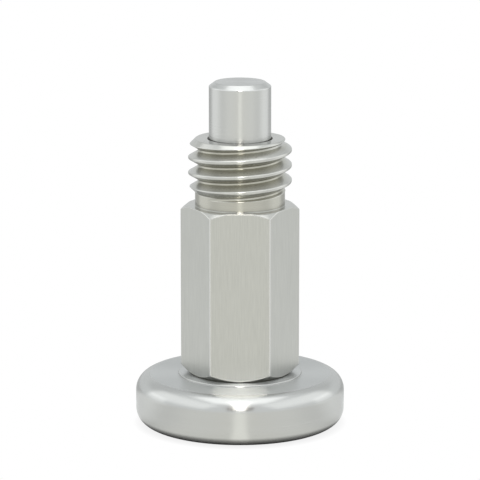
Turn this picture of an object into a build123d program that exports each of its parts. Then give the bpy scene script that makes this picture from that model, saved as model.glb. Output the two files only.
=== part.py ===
from build123d import *

import os
from math import atan2, ceil, cos, degrees, radians, sin, sqrt, tan

# Retractable spring plunger with a hexagon body, an M10 nose thread and a pull knob, in millimetres.
#
# The body screws into a plate up to its hexagon's shoulder. A round pin stands out of the threaded nose.
# Pulling the knob draws the pin in against a coil spring, which is held between the pin's collar and a
# bush pressed into the body's lower end.
#
# Frame: the origin is on the pin's axis, in the plane of the shoulder that seats on the plate. +Z points
# out of the threaded nose, so the knob hangs below and its flat end face is the lowest face.

# ---- mounting thread and neck ----
thread_diameter = 10.0
thread_pitch = 1.5
thread_length = 5.2          # from the end of the neck to the nose face, both chamfers included
run_out_direction = 189.0    # from +X about +Z, where the cutter starts, just outside the neck's skin
run_out_turn = 109.0         # angle over which the cutter goes down to the full depth
run_out_inset = 0.37         # of the cutter's start from the end of the neck
neck_diameter = 8.7
neck_length = 1.3
nose_chamfer = 0.7

# ---- hexagon body ----
hex_across_flats = 10.0
hex_length = 16.6
hex_edge_radius = 0.15
hex_chamfer_angle = 36.5     # of both ends, from their flat faces
shoulder_face_diameter = 10.2
end_face_diameter = 9.6

# ---- plunger pin ----
pin_diameter = 6.0
pin_protrusion = 5.5         # out of the nose face, and the full pull that sinks the tip level with it
pin_clearance = 0.03         # radial, in the nose bore
bore_mouth_chamfer = 0.15
tip_chamfer_length = 0.42    # along the axis
tip_chamfer_width = 0.56     # across it
stem_diameter = 4.0

# ---- spring chamber and the collar in it ----
chamber_diameter = 7.4
chamber_roof = 1.0           # metal between the shoulder plane and the chamber
collar_length = 1.5
collar_clearance = 0.15      # radial, in the chamber
collar_gap = 0.2             # left above the collar, so that the knob's pad is the stop

# ---- end bush ----
bush_diameter = 8.0
bush_length = 3.0
bush_recess = 0.2            # below the hexagon's end face
bush_chamfer = 0.2
stem_clearance = 0.05        # radial, in the bush

# ---- spring ----
wire_diameter = 0.6
spring_mean_diameter = 5.7
active_turns = 4.0
closed_turns = 1.0           # at each end
closed_coil_gap = 0.04       # left between the closed coils
wire_facets = 6              # the round wire is drawn six-sided, which keeps its helical faces light

# ---- knob ----
knob_diameter = 20.3
knob_thickness = 4.95
knob_edge_radius = 1.6
knob_edge_facets = 5         # cones that each rounded rim is turned in, which keeps the disc light
pad_diameter = 12.0          # raised face that the body seats on
pad_height = 0.15
pad_chamfer = 0.05
stem_engagement = 3.0        # of the stem's threaded end in the knob
stem_end_chamfer = 0.3
blind_hole_reserve = 0.2     # past the stem's end, before the drill point
drill_point_angle = 118.0
drill_web = 0.4              # width of the flat that the drill's chisel edge leaves

# ---- heights that the pieces share ----
nose_z = neck_length + thread_length
run_out_z = neck_length - run_out_inset
tip_z = nose_z + pin_protrusion
hex_end_z = -hex_length
chamber_z = -chamber_roof
collar_top_z = chamber_z - collar_gap
collar_under_z = collar_top_z - collar_length
bush_bottom_z = hex_end_z + bush_recess
bush_top_z = bush_bottom_z + bush_length
knob_face_z = hex_end_z - pad_height
knob_bottom_z = knob_face_z - knob_thickness
stem_end_z = hex_end_z - stem_engagement

# ---- ISO metric thread form ----
FLANK_ANGLE = radians(30)
thread_depth = 0.6134 * thread_pitch
root_radius = thread_diameter / 2 - thread_depth
root_half_width = thread_pitch / 16
cutter_overrun = thread_pitch / 10    # how far the thread cutter stands proud of the crest


def turned(*points):
    """The solid of revolution about Z of the closed outline through (radius, height) points."""
    corners = [(radius, 0, height) for radius, height in points]
    return revolve(make_face(Polyline(*corners, close=True)), Axis.Z)


def drilled(diameter, low, high):
    """A plain cylindrical hole from height low to height high."""
    hole = Cylinder(diameter / 2, high - low, align=(Align.CENTER, Align.CENTER, Align.MIN))
    return Pos(0, 0, low) * hole


def groove_section(radius):
    """The V of the thread groove on the XZ plane, its flat root at the given radius and at height 0."""
    reach = thread_depth + cutter_overrun
    mouth_half_width = root_half_width + reach * tan(FLANK_ANGLE)
    corners = [
        (radius, 0, -root_half_width),
        (radius + reach, 0, -mouth_half_width),
        (radius + reach, 0, mouth_half_width),
        (radius, 0, root_half_width),
    ]
    return make_face(Polyline(*corners, close=True))


def thread_cutters():
    """Cutters of the right-hand groove, from its run-out in the neck up past the nose face.

    The run-out follows a conical helix that starts just outside the neck's skin and deepens to the full
    depth. From there on, half turns of the cylindrical helix follow each other out of the nose.
    """
    skin_radius = neck_diameter / 2 + cutter_overrun
    run_out_rise = thread_pitch * run_out_turn / 360
    cone_angle = atan2(skin_radius - root_radius, run_out_rise)
    cone_pitch = thread_pitch / cos(cone_angle)
    cone_path = Helix(cone_pitch, run_out_rise, skin_radius, cone_angle=-degrees(cone_angle))
    run_out = sweep(groove_section(skin_radius), cone_path, is_frenet=True)
    yield Pos(0, 0, run_out_z) * Rot(0, 0, run_out_direction) * run_out

    half_pitch = thread_pitch / 2
    half_path = Helix(thread_pitch, half_pitch, root_radius)
    half_turn = sweep(groove_section(root_radius), half_path, is_frenet=True)
    full_depth_z = run_out_z + run_out_rise
    full_depth_direction = run_out_direction + run_out_turn
    for i in range(ceil((nose_z - full_depth_z) / half_pitch) + 1):
        start = Pos(0, 0, full_depth_z + i * half_pitch) * Rot(0, 0, full_depth_direction + i * 180)
        yield start * half_turn


def hexagon_body():
    """Hexagon bar with a flat facing -Y, both ends turned to a cone and a flat ring."""
    corner_radius = hex_across_flats / sqrt(3)
    outline = RegularPolygon(corner_radius, 6, major_radius=True)
    outline = fillet(outline.vertices(), hex_edge_radius)
    bar = extrude(Pos(0, 0, hex_end_z) * outline, amount=hex_length)

    slope = tan(radians(hex_chamfer_angle))
    shoulder_radius = shoulder_face_diameter / 2
    end_radius = end_face_diameter / 2
    turned_ends = turned(
        (0, hex_end_z),
        (end_radius, hex_end_z),
        (corner_radius, hex_end_z + (corner_radius - end_radius) * slope),
        (corner_radius, -(corner_radius - shoulder_radius) * slope),
        (shoulder_radius, 0),
        (0, 0),
    )
    return bar & turned_ends


def threaded_nose():
    """Neck and thread blank in one turned piece, with the thread groove cut into them."""
    blank_radius = thread_diameter / 2
    neck_radius = neck_diameter / 2
    blank = turned(
        (0, hex_end_z / 2),
        (neck_radius, hex_end_z / 2),
        (neck_radius, neck_length),
        (blank_radius, neck_length + blank_radius - neck_radius),
        (blank_radius, nose_z - nose_chamfer),
        (blank_radius - nose_chamfer, nose_z),
        (0, nose_z),
    )
    for cutter in thread_cutters():
        blank -= cutter
    return blank


def housing():
    """Hexagon body and threaded nose, with the guide bore, the spring chamber and the seat of the bush."""
    bore_diameter = pin_diameter + 2 * pin_clearance
    bore_radius = bore_diameter / 2
    bore = drilled(bore_diameter, chamber_z, nose_z)
    bore_mouth = turned(
        (0, nose_z - bore_mouth_chamfer),
        (bore_radius, nose_z - bore_mouth_chamfer),
        (bore_radius + bore_mouth_chamfer, nose_z),
        (0, nose_z),
    )
    chamber = drilled(chamber_diameter, bush_top_z, chamber_z)
    bush_seat = drilled(bush_diameter, hex_end_z, bush_top_z)
    return hexagon_body() + threaded_nose() - bore - bore_mouth - chamber - bush_seat


def plunger_pin():
    """Pin, collar and stem turned in one piece, with a chamfered tip and stem end."""
    pin_radius = pin_diameter / 2
    collar_radius = chamber_diameter / 2 - collar_clearance
    stem_radius = stem_diameter / 2
    return turned(
        (0, stem_end_z),
        (stem_radius - stem_end_chamfer, stem_end_z),
        (stem_radius, stem_end_z + stem_end_chamfer),
        (stem_radius, collar_under_z),
        (collar_radius, collar_under_z),
        (collar_radius, collar_top_z),
        (pin_radius, collar_top_z),
        (pin_radius, tip_z - tip_chamfer_length),
        (pin_radius - tip_chamfer_width, tip_z),
        (0, tip_z),
    )


def end_bush():
    """Plain bush that closes the spring chamber and guides the stem, chamfered where it is pressed in."""
    outer_radius = bush_diameter / 2
    inner_radius = stem_diameter / 2 + stem_clearance
    return turned(
        (inner_radius, bush_bottom_z),
        (outer_radius, bush_bottom_z),
        (outer_radius, bush_top_z - bush_chamfer),
        (outer_radius - bush_chamfer, bush_top_z),
        (inner_radius, bush_top_z),
    )


def spring():
    """Compression spring with closed, ground ends, from the bush up to the collar.

    The wire's path starts half a wire inside each end plane, and the ends are ground flat on those planes.
    """
    mean_radius = spring_mean_diameter / 2
    closed_pitch = wire_diameter + closed_coil_gap
    closed_rise = closed_turns * closed_pitch
    active_rise = collar_under_z - bush_top_z - 2 * closed_rise
    active_pitch = active_rise / active_turns
    closed = Helix(closed_pitch, closed_rise, mean_radius)
    active = Helix(active_pitch, active_rise, mean_radius)
    active_start = Pos(0, 0, closed_rise) * Rot(0, 0, 360 * closed_turns)
    upper_start = Pos(0, 0, closed_rise + active_rise) * Rot(0, 0, 360 * (closed_turns + active_turns))
    path = Wire([closed, active_start * active, upper_start * closed])
    section = Plane(path @ 0, z_dir=path % 0) * RegularPolygon(wire_diameter / 2, wire_facets)
    coil = sweep(section, path, is_frenet=True)
    ground = drilled(spring_mean_diameter + 4 * wire_diameter, bush_top_z, collar_under_z)
    return Pos(0, 0, bush_top_z) * coil & ground


def rim_corners(centre_z, first_angle):
    """(radius, height) points along a quarter round of the knob's rim, starting at the first angle."""
    centre_radius = knob_diameter / 2 - knob_edge_radius
    angles = [radians(first_angle + 90 * i / knob_edge_facets) for i in range(knob_edge_facets + 1)]
    return [
        (centre_radius + knob_edge_radius * cos(angle), centre_z + knob_edge_radius * sin(angle))
        for angle in angles
    ]


def knob():
    """Turned disc with rounded rims, a raised pad and a blind drilled hole for the stem."""
    pad_radius = pad_diameter / 2
    hole_radius = stem_diameter / 2
    hole_z = stem_end_z - blind_hole_reserve
    web_radius = drill_web / 2
    point_z = hole_z - (hole_radius - web_radius) / tan(radians(drill_point_angle / 2))
    return turned(
        (0, knob_bottom_z),
        *rim_corners(knob_bottom_z + knob_edge_radius, -90),
        *rim_corners(knob_face_z - knob_edge_radius, 0),
        (pad_radius, knob_face_z),
        (pad_radius, hex_end_z - pad_chamfer),
        (pad_radius - pad_chamfer, hex_end_z),
        (hole_radius, hex_end_z),
        (hole_radius, hole_z),
        (web_radius, point_z),
        (0, point_z),
    )


os.makedirs("parts", exist_ok=True)
for piece in (housing, plunger_pin, end_bush, spring, knob):
    export_step(piece(), f"parts/{piece.__name__}.step")
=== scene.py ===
from math import cos, pi, radians, sin, tan

import bpy
import numpy as np
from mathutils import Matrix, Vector


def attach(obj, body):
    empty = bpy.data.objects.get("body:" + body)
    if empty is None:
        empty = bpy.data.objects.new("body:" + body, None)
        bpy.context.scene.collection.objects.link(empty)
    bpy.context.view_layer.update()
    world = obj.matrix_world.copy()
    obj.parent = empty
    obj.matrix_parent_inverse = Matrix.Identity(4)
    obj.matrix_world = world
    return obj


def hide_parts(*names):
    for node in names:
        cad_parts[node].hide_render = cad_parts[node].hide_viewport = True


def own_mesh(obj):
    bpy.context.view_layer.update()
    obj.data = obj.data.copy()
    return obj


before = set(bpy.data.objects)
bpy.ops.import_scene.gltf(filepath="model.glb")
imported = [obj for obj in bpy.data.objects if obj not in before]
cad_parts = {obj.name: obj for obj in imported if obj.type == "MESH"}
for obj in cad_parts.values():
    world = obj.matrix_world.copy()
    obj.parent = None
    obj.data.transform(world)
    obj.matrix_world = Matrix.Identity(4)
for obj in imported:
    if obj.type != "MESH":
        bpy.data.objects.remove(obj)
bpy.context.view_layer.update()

# Spring plunger: the five CAD solids are replaced by finer meshes of the same sizes, and lit as in the photo.
# Sizes are in millimetres. Meshes, lamps and the camera are in metres. Directions are in degrees from +X.

MM = 0.001

# ---- sizes of the pieces, as the CAD model has them ----
PITCH = 1.5
ROOT_HALF_WIDTH = PITCH / 16
FLANK_SLOPE = tan(radians(30))
CREST_R, ROOT_R, NECK_R = 5.0, 4.08, 4.35
NECK_END, NOSE_Z = 1.3, 6.5
RUN_OUT_Z, RUN_OUT_FROM, RUN_OUT_PROUD = 0.93, 189.0, 0.15      # the cutter's start, just outside the neck
RUN_OUT_TURN = 109.0                                            # over which it goes down to the full depth
NOSE_CHAMFER, MOUTH_CHAMFER = 0.7, 0.15
FLATS, CORNER_ROUND = 10.0, 0.15
SHOULDER_R, END_R, HEX_SLOPE = 5.1, 4.8, tan(radians(36.5))     # flat ends of the hexagon, and their chamfers
HEX_END = -16.6
BORE_R, CHAMBER_R, SEAT_R = 3.03, 3.7, 4.0
CHAMBER_TOP, BUSH_TOP, BUSH_LOW = -1.0, -13.4, -16.4
BUSH_CHAMFER, BUSH_GAP = 0.2, 0.05                              # the gap is round the stem
COLLAR_TOP, COLLAR_LOW, COLLAR_R = -1.2, -2.7, 3.55
PIN_R, TIP_Z, TIP_CHAMFER_LENGTH, TIP_CHAMFER_WIDTH = 3.0, 12.0, 0.42, 0.56
STEM_R, STEM_LOW, STEM_CHAMFER = 2.0, -19.6, 0.3
KNOB_R, KNOB_TOP, KNOB_LOW, KNOB_ROUND = 10.15, -16.75, -21.7, 1.6
PAD_R, PAD_CHAMFER = 6.0, 0.05
HOLE_LOW, DRILL_POINT_LOW, DRILL_WEB_R = STEM_LOW - 0.2, STEM_LOW - 1.28, 0.2
WIRE_R, COIL_R, CLOSED_PITCH = 0.3, 2.85, 0.64
CLOSED_TURNS, ACTIVE_TURNS = 1.0, 4.0                           # the closed ones at each end

# ---- fineness of the body's mesh: degrees between its columns, and height between the thread's rows ----
COLUMN_STEP, ROW_STEP = 1.25, 0.03

# ---- softened edges ----
EDGE_EASE = 0.04             # of a turned piece's edges, where nothing else is said
HEX_EASE = 0.05              # of the hexagon's edges at its shoulder and its end
THREAD_EASE = 0.10           # of the thread's crests and the edges of its blank
NO_GROOVE = 20.0             # groove radius where nothing is cut


# ---------------------------------------------------------------- mesh helpers
def bent(start, corner, end, shares):
    """Points on a small curve from start to end that bends at corner, at the given shares of its length."""
    return [
        tuple((1 - t) ** 2 * x + 2 * t * (1 - t) * y + t * t * w for x, y, w in zip(start, corner, end))
        for t in shares
    ]


def eased(points, radius=EDGE_EASE, steps=3):
    """The closed outline with every corner turned into a small curve. points are (r, z[, own radius])."""
    out = []
    n = len(points)
    for i, p in enumerate(points):
        here = np.array(p[:2], float)
        reach = p[2] if len(p) > 2 else radius
        before = np.array(points[(i - 1) % n][:2], float) - here
        after = np.array(points[(i + 1) % n][:2], float) - here
        before_length, after_length = np.linalg.norm(before), np.linalg.norm(after)
        if reach <= 0 or before_length < 1e-9 or after_length < 1e-9:
            out.append(here)
            continue
        start = here + before / before_length * min(reach, 0.45 * before_length)
        end = here + after / after_length * min(reach, 0.45 * after_length)
        out += bent(start, here, end, [k / steps for k in range(steps + 1)])
    return np.array(out)


def corner_arc(centre_r, centre_z, radius, start, end, steps=20):
    """Points of a quarter round in the (r, z) half plane, angles in degrees from +r towards +z."""
    return [
        (centre_r + radius * cos(radians(a)), centre_z + radius * sin(radians(a)), 0)
        for a in np.linspace(start, end, steps + 1)
    ]


def column(outline, angle):
    """The (r, z) outline as (x, y, z) points at an angle in radians."""
    return np.column_stack([outline[:, 0] * cos(angle), outline[:, 0] * sin(angle), outline[:, 1]])


def smooth_piece(name, points, faces):
    """A new object with smooth faces. points are in metres."""
    mesh = bpy.data.meshes.new(name)
    mesh.from_pydata(points.tolist(), [], faces)
    mesh.polygons.foreach_set("use_smooth", np.ones(len(mesh.polygons), bool))
    mesh.update()
    piece = bpy.data.objects.new(name, mesh)
    bpy.context.scene.collection.objects.link(piece)
    return piece


def grid_piece(name, columns):
    """A closed mesh from columns[i][row] = (x, y, z) in millimetres, the columns going round the axis.
    Its normals are weighted by face area, so that flat faces stay flat up to their eased edges."""
    grid = np.asarray(columns, float) * MM
    cols, rows = grid.shape[:2]
    points = grid.reshape(-1, 3)
    col, row = np.meshgrid(np.arange(cols), np.arange(rows), indexing="ij")
    next_col, next_row = (col + 1) % cols, (row + 1) % rows
    corners = [(col, row), (next_col, row), (next_col, next_row), (col, next_row)]
    quads = np.stack([c * rows + r for c, r in corners], -1).reshape(-1, 4)
    diagonals = points[quads[:, 2]] - points[quads[:, 0]], points[quads[:, 3]] - points[quads[:, 1]]
    cross = np.cross(*diagonals)
    keep = np.linalg.norm(cross, axis=1) > 1e-14
    quads, cross = quads[keep], cross[keep]
    normals = np.zeros_like(points)
    for k in range(4):
        np.add.at(normals, quads[:, k], cross)
    normals /= np.maximum(np.linalg.norm(normals, axis=1), 1e-20)[:, None]
    piece = smooth_piece(name, points, quads.tolist())
    piece.data.normals_split_custom_set_from_vertices(normals.tolist())
    return piece


def lathed(name, outline, columns=256):
    """A solid of revolution about Z from a closed (r, z) outline that has its solid on the left."""
    return grid_piece(name, [column(outline, a) for a in np.linspace(0, 2 * pi, columns, endpoint=False)])


# ---------------------------------------------------------------- body with its threaded nose
def groove_radius(angle, z):
    """Radius of the thread's groove at an angle in radians and heights z."""
    turn = (np.degrees(angle) - RUN_OUT_FROM) / 360.0
    phase = (z - RUN_OUT_Z) / PITCH - turn
    nearest = np.round(phase)
    offset = np.abs(phase - nearest) * PITCH
    along = (nearest + turn) * 360.0         # angle from the run-out's start, along the nearest groove
    deep = np.clip(along / RUN_OUT_TURN, 0, 1)
    root = (NECK_R + RUN_OUT_PROUD) * (1 - deep) + ROOT_R * deep
    groove = root + np.maximum(offset - ROOT_HALF_WIDTH, 0) / FLANK_SLOPE
    return np.where(along < 0, NO_GROOVE, groove)


def smooth_min(a, b, width):
    """The smaller of a and b, rounded where they cross."""
    h = np.clip(0.5 + 0.5 * (b - a) / width, 0, 1)
    return b * (1 - h) + a * h - width * h * (1 - h)


def blank_radius(z):
    """Radius of the turned blank that the thread is cut in."""
    lower = NECK_R + np.maximum(z - NECK_END, 0)
    upper = CREST_R - NOSE_CHAMFER + (NOSE_Z - z)
    return np.minimum(np.where(z < NECK_END, NECK_R, lower), upper)


def nose_radius(angle, z):
    """Radius of the threaded nose and the neck at an angle in radians and heights z."""
    blank = smooth_min(blank_radius(z), np.full_like(z, CREST_R), THREAD_EASE)
    groove = groove_radius(angle, z)
    return np.where(groove == NO_GROOVE, blank, smooth_min(groove, blank, THREAD_EASE))


def hex_radius(angle):
    """Radius of the hexagon's outline, its corners at 0, 60, ... degrees rounded."""
    sector = (angle + pi / 6) % (pi / 3) - pi / 6          # 0 at a corner
    across = FLATS / 2
    corner = across / cos(pi / 6)
    centre = corner - CORNER_ROUND / cos(pi / 6)
    flat = across / np.cos(pi / 6 - np.abs(sector))
    inside = CORNER_ROUND**2 - (centre * np.sin(sector)) ** 2
    arc = centre * np.cos(sector) + np.sqrt(np.maximum(inside, 0))
    limit = np.arctan2(CORNER_ROUND * sin(pi / 6), centre + CORNER_ROUND * cos(pi / 6))
    return np.where(np.abs(sector) < limit, arc, flat)


def shoulder_z(r):
    """Height of the shoulder and its chamfer at radius r."""
    return -max(r - SHOULDER_R, 0) * HEX_SLOPE


def end_z(r):
    """Height of the hexagon's lower end and its chamfer at radius r."""
    return HEX_END + max(r - END_R, 0) * HEX_SLOPE


def hex_outline(radius):
    """The (r, z) outline from the neck's foot over the hexagon to its end, where it is radius wide."""
    inner = radius - HEX_EASE
    flat_rows = np.linspace(NECK_R + 0.2, min(SHOULDER_R - 0.06, inner), 4)
    chamfer_rows = np.linspace(min(SHOULDER_R + 0.02, inner), inner, 4)
    end_rows = np.linspace(radius - 2 * HEX_EASE, END_R + 0.03, 3)
    top, low = shoulder_z(radius), end_z(radius)
    quarters = (0.0, 0.25, 0.5, 0.75, 1.0)
    points = [(NECK_R + 0.02, 0.0)]
    points += [(r, shoulder_z(r)) for r in (*flat_rows, *chamfer_rows)]
    points += bent((inner, shoulder_z(inner)), (radius, top), (radius, top - HEX_EASE), quarters[1:])
    points += bent((radius, low + HEX_EASE), (radius, low), (inner, end_z(inner)), quarters)
    points += [(r, end_z(r)) for r in end_rows]
    return points + [(END_R, HEX_END + 0.004), (END_R - 0.04, HEX_END)]


def housing():
    """The body. Its mesh has a column in each direction, with extra ones round the hexagon's corners."""
    near_corner = np.array([0.0, 0.14, 0.28, 0.42, 0.56, 0.70, 0.745, 0.85, 1.1])
    corners = np.concatenate([c * 60 + side * near_corner for c in range(6) for side in (-1, 1)]) % 360
    directions = np.unique(np.round(np.concatenate([np.arange(0, 360, COLUMN_STEP), corners]), 4))
    neck_rows = [0.0, 0.03, 0.06, *np.linspace(0.12, 0.96, 8)]
    rows = np.concatenate([neck_rows, np.arange(1.0, NOSE_Z - 0.02, ROW_STEP)])
    mouth = [(BORE_R, CHAMBER_TOP), (BORE_R, NOSE_Z - MOUTH_CHAMFER), (BORE_R + MOUTH_CHAMFER, NOSE_Z)]
    bore = eased([(BORE_R + 0.4, CHAMBER_TOP, 0), *mouth, (BORE_R + 0.6, NOSE_Z, 0)], 0.03)[1:]
    inside = [(SEAT_R + 0.05, HEX_END), (SEAT_R, HEX_END + 0.05)]
    inside += [(SEAT_R, BUSH_TOP), (CHAMBER_R, BUSH_TOP), (CHAMBER_R, CHAMBER_TOP)]
    columns = []
    for angle in np.radians(directions):
        radii = nose_radius(np.full(len(rows), angle), rows)
        rim = min(float(nose_radius(np.array([angle]), np.array([NOSE_Z]))[0]), radii[-1])
        nose = [(rim - 0.04, NOSE_Z), (rim, NOSE_Z - 0.012)]
        wall = list(zip(radii[::-1], rows[::-1]))
        outline = [tuple(p) for p in bore] + nose + wall + hex_outline(float(hex_radius(angle))) + inside
        columns.append(column(np.array(outline), angle))
    return grid_piece("housing_turned", columns)


# ---------------------------------------------------------------- turned pieces and the spring
def plunger_pin():
    outline = [
        (0.0, STEM_LOW, 0),
        (STEM_R - STEM_CHAMFER, STEM_LOW),
        (STEM_R, STEM_LOW + STEM_CHAMFER),
        (STEM_R, COLLAR_LOW),
        (COLLAR_R, COLLAR_LOW),
        (COLLAR_R, COLLAR_TOP),
        (PIN_R, COLLAR_TOP),
        (PIN_R, TIP_Z - TIP_CHAMFER_LENGTH, 0.07),
        (PIN_R - TIP_CHAMFER_WIDTH, TIP_Z, 0.06),
        (0.0, TIP_Z, 0),
    ]
    return lathed("pin_turned", eased(outline))


def knob():
    foot_r = KNOB_R - KNOB_ROUND
    outline = [(0.0, KNOB_LOW, 0), (foot_r * 0.5, KNOB_LOW, 0)]
    outline += corner_arc(foot_r, KNOB_LOW + KNOB_ROUND, KNOB_ROUND, -90, 0)
    outline += corner_arc(foot_r, KNOB_TOP - KNOB_ROUND, KNOB_ROUND, 0, 90)
    outline += [
        (PAD_R + 0.03, KNOB_TOP, 0.02),
        (PAD_R, KNOB_TOP + 0.02, 0.02),
        (PAD_R, HEX_END - PAD_CHAMFER, 0.02),
        (PAD_R - PAD_CHAMFER, HEX_END, 0.02),
        (STEM_R, HEX_END),
        (STEM_R, HOLE_LOW),
        (DRILL_WEB_R, DRILL_POINT_LOW, 0),
        (0.0, DRILL_POINT_LOW, 0),
    ]
    return lathed("knob_turned", eased(outline, 0.03), 320)


def end_bush():
    inner = STEM_R + BUSH_GAP
    outline = [
        (inner, BUSH_LOW),
        (SEAT_R, BUSH_LOW),
        (SEAT_R, BUSH_TOP - BUSH_CHAMFER),
        (SEAT_R - BUSH_CHAMFER, BUSH_TOP),
        (inner, BUSH_TOP),
    ]
    return lathed("bush_turned", eased(outline, 0.05), 160)


def spring():
    """Round wire on the CAD spring's path, with ends flattened where they are ground."""
    closed_rise = CLOSED_PITCH * CLOSED_TURNS
    rise = COLLAR_LOW - BUSH_TOP - 2 * closed_rise
    turns = 2 * CLOSED_TURNS + ACTIVE_TURNS
    steps, rows = int(turns * 48), 14
    grid = []
    for i in range(steps + 1):
        t = turns * i / steps
        slope = CLOSED_PITCH
        if t < CLOSED_TURNS:
            z = CLOSED_PITCH * t
        elif t < CLOSED_TURNS + ACTIVE_TURNS:
            z = closed_rise + rise * (t - CLOSED_TURNS) / ACTIVE_TURNS
            slope = rise / ACTIVE_TURNS
        else:
            z = closed_rise + rise + CLOSED_PITCH * (t - CLOSED_TURNS - ACTIVE_TURNS)
        a = 2 * pi * t
        along = Vector((-COIL_R * sin(a), COIL_R * cos(a), slope / (2 * pi))).normalized()
        out = Vector((cos(a), sin(a), 0))
        up = out.cross(along)
        centre = Vector((COIL_R * cos(a), COIL_R * sin(a), BUSH_TOP + z))
        for b in (2 * pi * k / rows for k in range(rows)):
            p = centre + out * (WIRE_R * cos(b)) + up * (WIRE_R * sin(b))
            grid.append((p.x, p.y, min(max(p.z, BUSH_TOP), COLLAR_LOW)))
    faces = [
        (c * rows + r, c * rows + (r + 1) % rows, (c + 1) * rows + (r + 1) % rows, (c + 1) * rows + r)
        for c in range(steps)
        for r in range(rows)
    ]
    faces += [tuple(range(rows))[::-1], tuple(steps * rows + r for r in range(rows))]
    return smooth_piece("spring_wire", np.array(grid) * MM, faces)


# ---------------------------------------------------------------- shaders
CORNER_SHADE_AND_FILM = (0.17, 0.153, 0.105, 1)         # painted shade in corners, with a dull oily tint
GROOVE_SHADE_AND_OIL = (0.27, 0.245, 0.13, 1)           # painted shade with an oil tint, in the thread's grooves and on its neck
GLANCING = (0.78, 0.78, 0.78, 1)       # of steel's colour, at glancing angles
GRAIN_TURN = 0.25                      # of the highlight's stretch, for grain that goes round the axis
BRUSH_SQUEEZE = 0.04                   # of the noise along Z, which draws it out to lines
BLOTCHES = 260                         # of the soft noise, per metre
ROUGHNESS_SPREAD, ROUGHNESS_WANDER = 0.15, 0.02     # by the grain, as a share, and by the blotches


class Graph:
    """The node tree of a shader. What a node is fed is a plain value or another node's output."""

    def __init__(self, tree):
        self.tree = tree
        tree.nodes.clear()

    def add(self, kind, inputs=None):
        """A new node, with its inputs fed."""
        node = self.tree.nodes.new("ShaderNode" + kind)
        self.feed(node, inputs or {})
        return node

    def feed(self, node, inputs):
        """inputs maps a socket's name or number to what it is fed."""
        for socket, value in inputs.items():
            if isinstance(value, bpy.types.NodeSocket):
                self.tree.links.new(value, node.inputs[socket])
            else:
                node.inputs[socket].default_value = value

    def math(self, operation, *values):
        node = self.add("Math")
        node.operation = operation
        self.feed(node, dict(enumerate(values)))
        return node.outputs[0]

    def ramp(self, source, low, high, start=0.25, end=0.75):
        """low to high while source goes from start to end."""
        ends = {"From Min": start, "From Max": end, "To Min": low, "To Max": high}
        return self.add("MapRange", {"Value": source, **ends}).outputs["Result"]

    def blend(self, share, first, second):
        """The colour first where share is 0, and second where it is 1."""
        node = self.add("Mix")
        node.data_type = "RGBA"
        self.feed(node, {0: share, 6: first, 7: second})
        return node.outputs[2]

    def mixed(self, share, first, second):
        """The shader first where share is 0, and second where it is 1."""
        return self.add("MixShader", {0: share, 1: first, 2: second}).outputs[0]

    def nearby(self, reach, samples):
        """1 in the open and less within reach, in metres, of something else."""
        node = self.add("AmbientOcclusion", {"Distance": reach})
        node.samples = samples
        return node.outputs["AO"]


def new_material(name):
    mat = bpy.data.materials.new(name)
    mat.use_nodes = True
    return mat, Graph(mat.node_tree)


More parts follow.
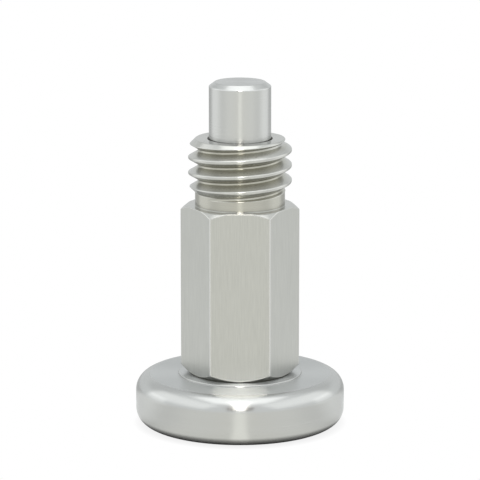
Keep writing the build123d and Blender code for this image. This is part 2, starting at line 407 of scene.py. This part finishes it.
def steel(name, colour, roughness, grain, anisotropy=0.0, brushed=False, painted_corner_shade=None, thread_shade_and_oil=None):
    """Stainless steel. grain is (strength, lines per mm) of turned rings, or of lines along Z where brushed.
    The corner-shade argument is (depth in mm, strength) of painted shade in corners, with a dull oily tint.
    The thread argument holds the strengths of painted shade with an oil tint (in the thread's grooves, on the
    neck)."""
    mat, graph = new_material(name)
    strength, lines = grain
    coords = graph.add("TexCoord").outputs["Object"]
    x, y, z = graph.add("SeparateXYZ", {0: coords}).outputs
    squares = graph.math("MULTIPLY", x, x), graph.math("MULTIPLY", y, y)
    radius = graph.math("SQRT", graph.math("ADD", *squares))
    if brushed:
        place = graph.add("CombineXYZ", {0: x, 1: y, 2: graph.math("MULTIPLY", z, BRUSH_SQUEEZE)})
    else:
        place = graph.add("CombineXYZ", {0: radius, 1: z})
    noise = {"Vector": place.outputs[0], "Scale": lines / MM, "Detail": 3, "Roughness": 0.65}
    fine = graph.add("TexNoise", noise).outputs[0]
    soft = graph.add("TexNoise", {"Vector": coords, "Scale": BLOTCHES, "Detail": 2}).outputs[0]

    wander = graph.ramp(soft, -ROUGHNESS_WANDER, ROUGHNESS_WANDER)
    smoothest, roughest = roughness * (1 - ROUGHNESS_SPREAD), roughness * (1 + ROUGHNESS_SPREAD)
    rough = graph.math("ADD", graph.ramp(fine, smoothest, roughest), wander)
    dark = (*[c * (1 - 0.5 * strength) for c in colour], 1)
    light = (*[min(1, c * (1 + 0.5 * strength)) for c in colour], 1)
    tint = graph.blend(graph.ramp(fine, 0.0, 1.0), dark, light)
    # Painted shade in corners: darker, with an oily tint, where something else is near.
    if painted_corner_shade:
        depth, shade_and_film = painted_corner_shade
        hidden = graph.ramp(graph.nearby(depth * MM, 6), 1.0, 0.0, 0.25, 0.85)
        tint = graph.blend(graph.math("MULTIPLY", hidden, shade_and_film), tint, CORNER_SHADE_AND_FILM)
    # Painted shade with an oil tint: darker towards the thread's roots, and over the neck.
    if thread_shade_and_oil:
        in_groove, on_neck = thread_shade_and_oil
        sunk = graph.ramp(radius, in_groove, 0.0, (ROOT_R + 0.05) * MM, (CREST_R - 0.22) * MM)
        above = graph.ramp(z, 0.0, 1.0, (NECK_END - 0.1) * MM, (NECK_END + 0.1) * MM)
        below = graph.ramp(z, 1.0, 0.0, (NOSE_Z - 0.7) * MM, (NOSE_Z - 0.5) * MM)
        shade_and_film = graph.math("MULTIPLY", graph.math("MULTIPLY", sunk, above), below)
        from_shoulder = graph.ramp(z, 0.0, on_neck, 0.0, 0.1 * MM)
        neck = graph.math("MULTIPLY", from_shoulder, graph.math("SUBTRACT", 1.0, above))
        tint = graph.blend(graph.math("MAXIMUM", shade_and_film, neck), tint, GROOVE_SHADE_AND_OIL)

    bump = {"Strength": min(1.0, strength * 1.2), "Distance": 0.004 * MM, "Height": fine}
    finish = {
        "Base Color": tint,
        "Metallic": 1.0,
        "Roughness": rough,
        "Specular Tint": GLANCING,
        "Anisotropic": anisotropy,
        "Anisotropic Rotation": GRAIN_TURN,
        "Normal": graph.add("Bump", bump).outputs[0],
    }
    if anisotropy:
        tangent = graph.add("Tangent")
        tangent.direction_type, tangent.axis = "RADIAL", "Z"
        finish["Tangent"] = tangent.outputs[0]
    graph.add("OutputMaterial", {0: graph.add("BsdfPrincipled", finish).outputs[0]})
    return mat


BODY_STEELS = (
    # Painted shade with an oil tint in the thread's grooves and on its neck.
    steel("turned_steel", (0.56, 0.56, 0.535), 0.22, (0.12, 22), 0.6, thread_shade_and_oil=(0.32, 0.25)),
    # Painted shade where other surfaces come near the hexagon's flats.
    steel("hex_steel", (0.492, 0.495, 0.471), 0.34, (0.18, 10), brushed=True, painted_corner_shade=(0.2, 0.4)),
    # Lighter steel on the hexagon's rounded edges: a painted highlight, partly polished wear.
    steel("edge_polish_and_highlight", (0.64, 0.64, 0.63), 0.25, (0.08, 12), brushed=True),
    # Nearly black steel in the bore's mouth: painted shade.
    steel("mouth_painted_shade", (0.09, 0.085, 0.075), 0.35, (0.1, 22)),
    steel("face_steel", (0.56, 0.56, 0.545), 0.36, (0.05, 22), 0.9),
    # Strong painted shade on the hexagon's lower chamfer: the dark wedge between it and the knob's pad.
    steel("end_steel", (0.50, 0.50, 0.475), 0.30, (0.12, 22), 0.6, painted_corner_shade=(0.7, 0.95)),
)
TURNED, ON_FLATS, ON_EDGES, IN_MOUTH, TURNED_FLAT, LOW_CHAMFER = range(6)
# Both knob steels paint shade where other surfaces come near, as by the pad, the hexagon's end and the floor.
KNOB_STEELS = (
    steel("knob_steel", (0.535, 0.54, 0.53), 0.23, (0.05, 12), 0.65, painted_corner_shade=(0.2, 0.5)),
    steel("knob_face_steel", (0.575, 0.585, 0.58), 0.36, (0.05, 12), 0.9, painted_corner_shade=(0.12, 0.5)),
)
PIN_STEEL = steel("pin_steel", (0.575, 0.58, 0.57), 0.25, (0.10, 30), 0.5)
BUSH_STEEL = steel("bush_steel", (0.5, 0.5, 0.5), 0.3, (0.2, 20), 0.4)
WIRE_STEEL = steel("wire_steel", (0.5, 0.5, 0.5), 0.25, (0.2, 20))


# ---------------------------------------------------------------- pieces on their bodies
def dress(piece, body, node, slot_name, *materials):
    """The piece stands for a CAD node, rides on its body and takes its materials."""
    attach(piece, body)
    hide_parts(node)
    for material in materials:
        piece.data.materials.append(material)
    return piece


def face_places(piece):
    """Every face's distance from the axis, height, normal's Z and direction round the axis."""
    polygons = piece.data.polygons
    centre, normal = np.zeros(len(polygons) * 3), np.zeros(len(polygons) * 3)
    polygons.foreach_get("center", centre)
    polygons.foreach_get("normal", normal)
    x, y, z = centre.reshape(-1, 3).T / MM
    return np.hypot(x, y), z, normal[2::3], np.degrees(np.arctan2(y, x))


FACING_UP, FACING_OUT = 0.99, 0.05     # the least and the most that such a normal's Z is
EDGE_REACH = 0.85                      # of the lighter steel on the hexagon's edges (painted highlight and polished wear), in degrees to each side
MOUTH_DEPTH = 1.0                      # of the nearly black steel in the bore's mouth, which paints its shade
NEAR = 0.03                            # to a face's height

body_piece = dress(housing(), "housing", "housing", "body_steel", *BODY_STEELS)
r, z, up, around = face_places(body_piece)
from_corner = np.minimum(around % 60, 60 - around % 60)
on_flats = (z < 0.001) & (r > FLATS / 2 - 0.1) & (np.abs(up) < FACING_OUT)
on_edges = on_flats & (from_corner < EDGE_REACH) & (r > 5.6)
in_mouth = (r < BORE_R + 0.14) & (z > NOSE_Z - MOUTH_DEPTH) & (z < NOSE_Z - 0.04)
turned_flat = (up > FACING_UP) & ((z > NOSE_Z - NEAR) | (np.abs(z) < NEAR))
low_chamfer = (z < HEX_END / 2) & (r > END_R - 0.02) & (up < -0.3)
which_steel = np.select(
    [on_edges, on_flats, in_mouth, turned_flat, low_chamfer],
    [ON_EDGES, ON_FLATS, IN_MOUTH, TURNED_FLAT, LOW_CHAMFER],
    TURNED,
)
body_piece.data.polygons.foreach_set("material_index", which_steel.astype(np.int32))

dress(plunger_pin(), "plunger", "plunger_pin", "pin_steel", PIN_STEEL)

knob_piece = dress(knob(), "plunger", "knob", "knob_steel", *KNOB_STEELS)
r, z, up, around = face_places(knob_piece)
on_top = (up > FACING_UP) & (z > KNOB_TOP - NEAR)
knob_piece.data.polygons.foreach_set("material_index", on_top.astype(np.int32))

dress(end_bush(), "housing", "end_bush", "bush_steel", BUSH_STEEL)

coil = dress(spring(), "housing", "spring", "spring_steel", WIRE_STEEL)
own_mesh(coil)

# ---------------------------------------------------------------- floor
# The white world shows through the floor. In reflections the floor's level goes by the direction round the
# object, as a studio table's does: (degrees from the front, level).
FLOOR_LEVELS = [
    (0, 1.24),
    (2.5, 1.24),
    (8, 0.94),
    (40, 0.95),
    (68, 0.86),
    (98, 1.11),
    (118, 1.11),
    (136, 0.72),
    (180, 0.72),
]
FLOOR_RIM_R, FLOOR_COLUMNS = 3000, 96
FLOOR_COLOUR = (0.85, 0.85, 0.85, 1)   # for the light that it throws back
CONTACT_REACH = 0.9                    # of the shade round the object's foot
CONTACT_SHADE = 0.15                   # its strength where it is seen
MIRRORED_SHADE = 1.8                   # its power in reflections
MIRRORED_SHARE = 0.94                  # of FLOOR_LEVELS in what reflections show, the rest being matt

scene = bpy.context.scene


def stage_object(name, points, faces):
    """A new object that isn't part of the plunger, and its mesh."""
    mesh = bpy.data.meshes.new(name)
    mesh.from_pydata(points, [], faces)
    obj = bpy.data.objects.new(name, mesh)
    scene.collection.objects.link(obj)
    return obj, mesh


def floor_shader(graph):
    """Clear to the camera but for a faint shade at the object's foot, clear from below, at FLOOR_LEVELS in
    reflections, and matt for the light that it throws back."""
    path = graph.add("LightPath").outputs
    x, y = graph.add("SeparateXYZ", {0: graph.add("TexCoord").outputs["Object"]}).outputs[:2]
    from_front = graph.math("ARCTAN2", graph.math("ABSOLUTE", x), graph.math("MULTIPLY", y, -1.0))
    falloff = graph.add("ValToRGB", {0: graph.math("DIVIDE", from_front, pi)})
    falloff.color_ramp.interpolation = "EASE"
    elements = falloff.color_ramp.elements
    while len(elements) < len(FLOOR_LEVELS):
        elements.new(0.5)
    for element, (direction, level) in zip(elements, FLOOR_LEVELS):
        cool = min(1, direction / 110)
        element.position = direction / 180
        element.color = (level * (1 - 0.015 * cool), level, level * (0.94 + 0.055 * cool), 1)

    open_air = graph.nearby(CONTACT_REACH * MM, 8)
    mirrored = {"Color": falloff.outputs[0], "Strength": graph.math("POWER", open_air, MIRRORED_SHADE)}
    glow = graph.add("Emission", mirrored).outputs[0]
    matt = graph.add("BsdfDiffuse", {"Color": FLOOR_COLOUR}).outputs[0]
    some = graph.math("MAXIMUM", path["Is Camera Ray"], path["Is Glossy Ray"])
    direct = graph.math("MAXIMUM", some, path["Is Transmission Ray"])
    table = graph.mixed(graph.math("MULTIPLY", direct, MIRRORED_SHARE), matt, glow)

    clear = graph.add("BsdfTransparent").outputs[0]
    dark = graph.add("Emission", {"Color": (0, 0, 0, 1)}).outputs[0]
    unshaded = graph.math("MULTIPLY_ADD", open_air, CONTACT_SHADE, 1 - CONTACT_SHADE)
    shade = graph.mixed(unshaded, dark, clear)
    from_above = graph.mixed(path["Is Camera Ray"], table, shade)
    backfacing = graph.add("NewGeometry").outputs["Backfacing"]
    graph.add("OutputMaterial", {0: graph.mixed(backfacing, from_above, clear)})


# The floor has a hole under the knob's flat foot, so that the foot can be looked at from below.
around_axis = [2 * pi * k / FLOOR_COLUMNS for k in range(FLOOR_COLUMNS)]
floor_points = [
    (radius * MM * cos(a), radius * MM * sin(a), 0)
    for radius in (KNOB_R - KNOB_ROUND, FLOOR_RIM_R)
    for a in around_axis
]
floor_faces = [
    (k, FLOOR_COLUMNS + k, FLOOR_COLUMNS + (k + 1) % FLOOR_COLUMNS, (k + 1) % FLOOR_COLUMNS)
    for k in range(FLOOR_COLUMNS)
]
floor, floor_mesh = stage_object("floor", floor_points, floor_faces)
floor.location.z = KNOB_LOW * MM
floor_white, graph = new_material("floor_white")
floor_shader(graph)
floor_mesh.materials.append(floor_white)

# ---------------------------------------------------------------- light
# The world is white to the camera. For the rest it is a little cooler, and darker high up behind the object.
WORLD_COLOUR = (0.97, 0.995, 1.0, 1)
DARKER_BEHIND = 0.18

world = bpy.data.worlds.new("studio")
scene.world = world
world.use_nodes = True
graph = Graph(world.node_tree)
y, z = graph.add("SeparateXYZ", {0: graph.add("TexCoord").outputs["Generated"]}).outputs[1:]
darker = graph.math("MULTIPLY", graph.ramp(y, 0.0, 1.0, 0.35, 0.6), graph.ramp(z, 0.0, 1.0, 0.34, 0.48))
level = graph.math("MULTIPLY_ADD", darker, -DARKER_BEHIND, 1.0)
light = graph.add("Background", {"Color": WORLD_COLOUR, "Strength": level}).outputs[0]
white = graph.add("Background", {"Color": (1, 1, 1, 1), "Strength": 1.0}).outputs[0]
by_ray = graph.mixed(graph.add("LightPath").outputs["Is Camera Ray"], light, white)
graph.add("OutputWorld", {0: by_ray})


WATTS_PER_M2 = 4             # of an area lamp that looks as bright as a white world


def softbox(name, place, size, glow, colour=(1, 1, 1), target=(0, 0, 0)):
    """A rectangular lamp, aimed at target, that looks glow brighter than the world behind it."""
    lamp = bpy.data.lights.new(name, "AREA")
    lamp.shape = "RECTANGLE"
    lamp.size, lamp.size_y = size
    lamp.energy = glow * WATTS_PER_M2 * size[0] * size[1]
    lamp.color = colour
    obj = bpy.data.objects.new(name, lamp)
    obj.location = Vector(place)
    obj.rotation_euler = (Vector(target) - Vector(place)).to_track_quat("-Z", "Y").to_euler()
    obj.visible_camera = False
    scene.collection.objects.link(obj)


softbox("top", (0, -0.075, 0.50), (0.48, 0.47), 0.6, target=(0, -0.075, 0))
for side, sign in (("left", -1), ("right", 1)):
    softbox(side, (sign * 0.484, -0.085, 0.344), (1.0, 0.42), 0.3)
    softbox(side + "_low", (sign * 0.558, 0.181, 0.12), (0.34, 0.22), 0.28)
softbox("front_high", (0, -0.26, 0.37), (0.09, 0.24), 3.3, (1, 0.98, 0.95))
softbox("front_low", (0, -0.44, 0.235), (0.08, 0.24), 4.8, (1, 0.97, 0.92))

# A dark card behind the low front lamp, which shows as two small dark marks beside the lamp's reflection.
CARD_COLOUR = (0.20, 0.185, 0.17, 1)
card_points = [(-0.13, -0.56, 0.10), (0.13, -0.56, 0.10), (0.13, -0.44, 0.38), (-0.13, -0.44, 0.38)]
card, card_mesh = stage_object("card", card_points, [(0, 1, 2, 3)])
card_dark, graph = new_material("card_black")
matt = graph.add("BsdfDiffuse", {"Color": CARD_COLOUR})
graph.add("OutputMaterial", {0: matt.outputs[0]})
card_mesh.materials.append(card_dark)
card.visible_camera = card.visible_shadow = card.visible_diffuse = False

# ---------------------------------------------------------------- camera
camera_data = bpy.data.cameras.new("camera")
camera_data.sensor_width = 36.0
camera_data.lens = 255.52
camera_data.clip_start, camera_data.clip_end = 0.01, 20
camera = bpy.data.objects.new("camera", camera_data)
camera.location = (0.0, -0.32264, 0.065945)
camera.rotation_euler = (radians(77.845), 0, 0)
scene.collection.objects.link(camera)
scene.camera = camera

scene.view_settings.view_transform = "Standard"
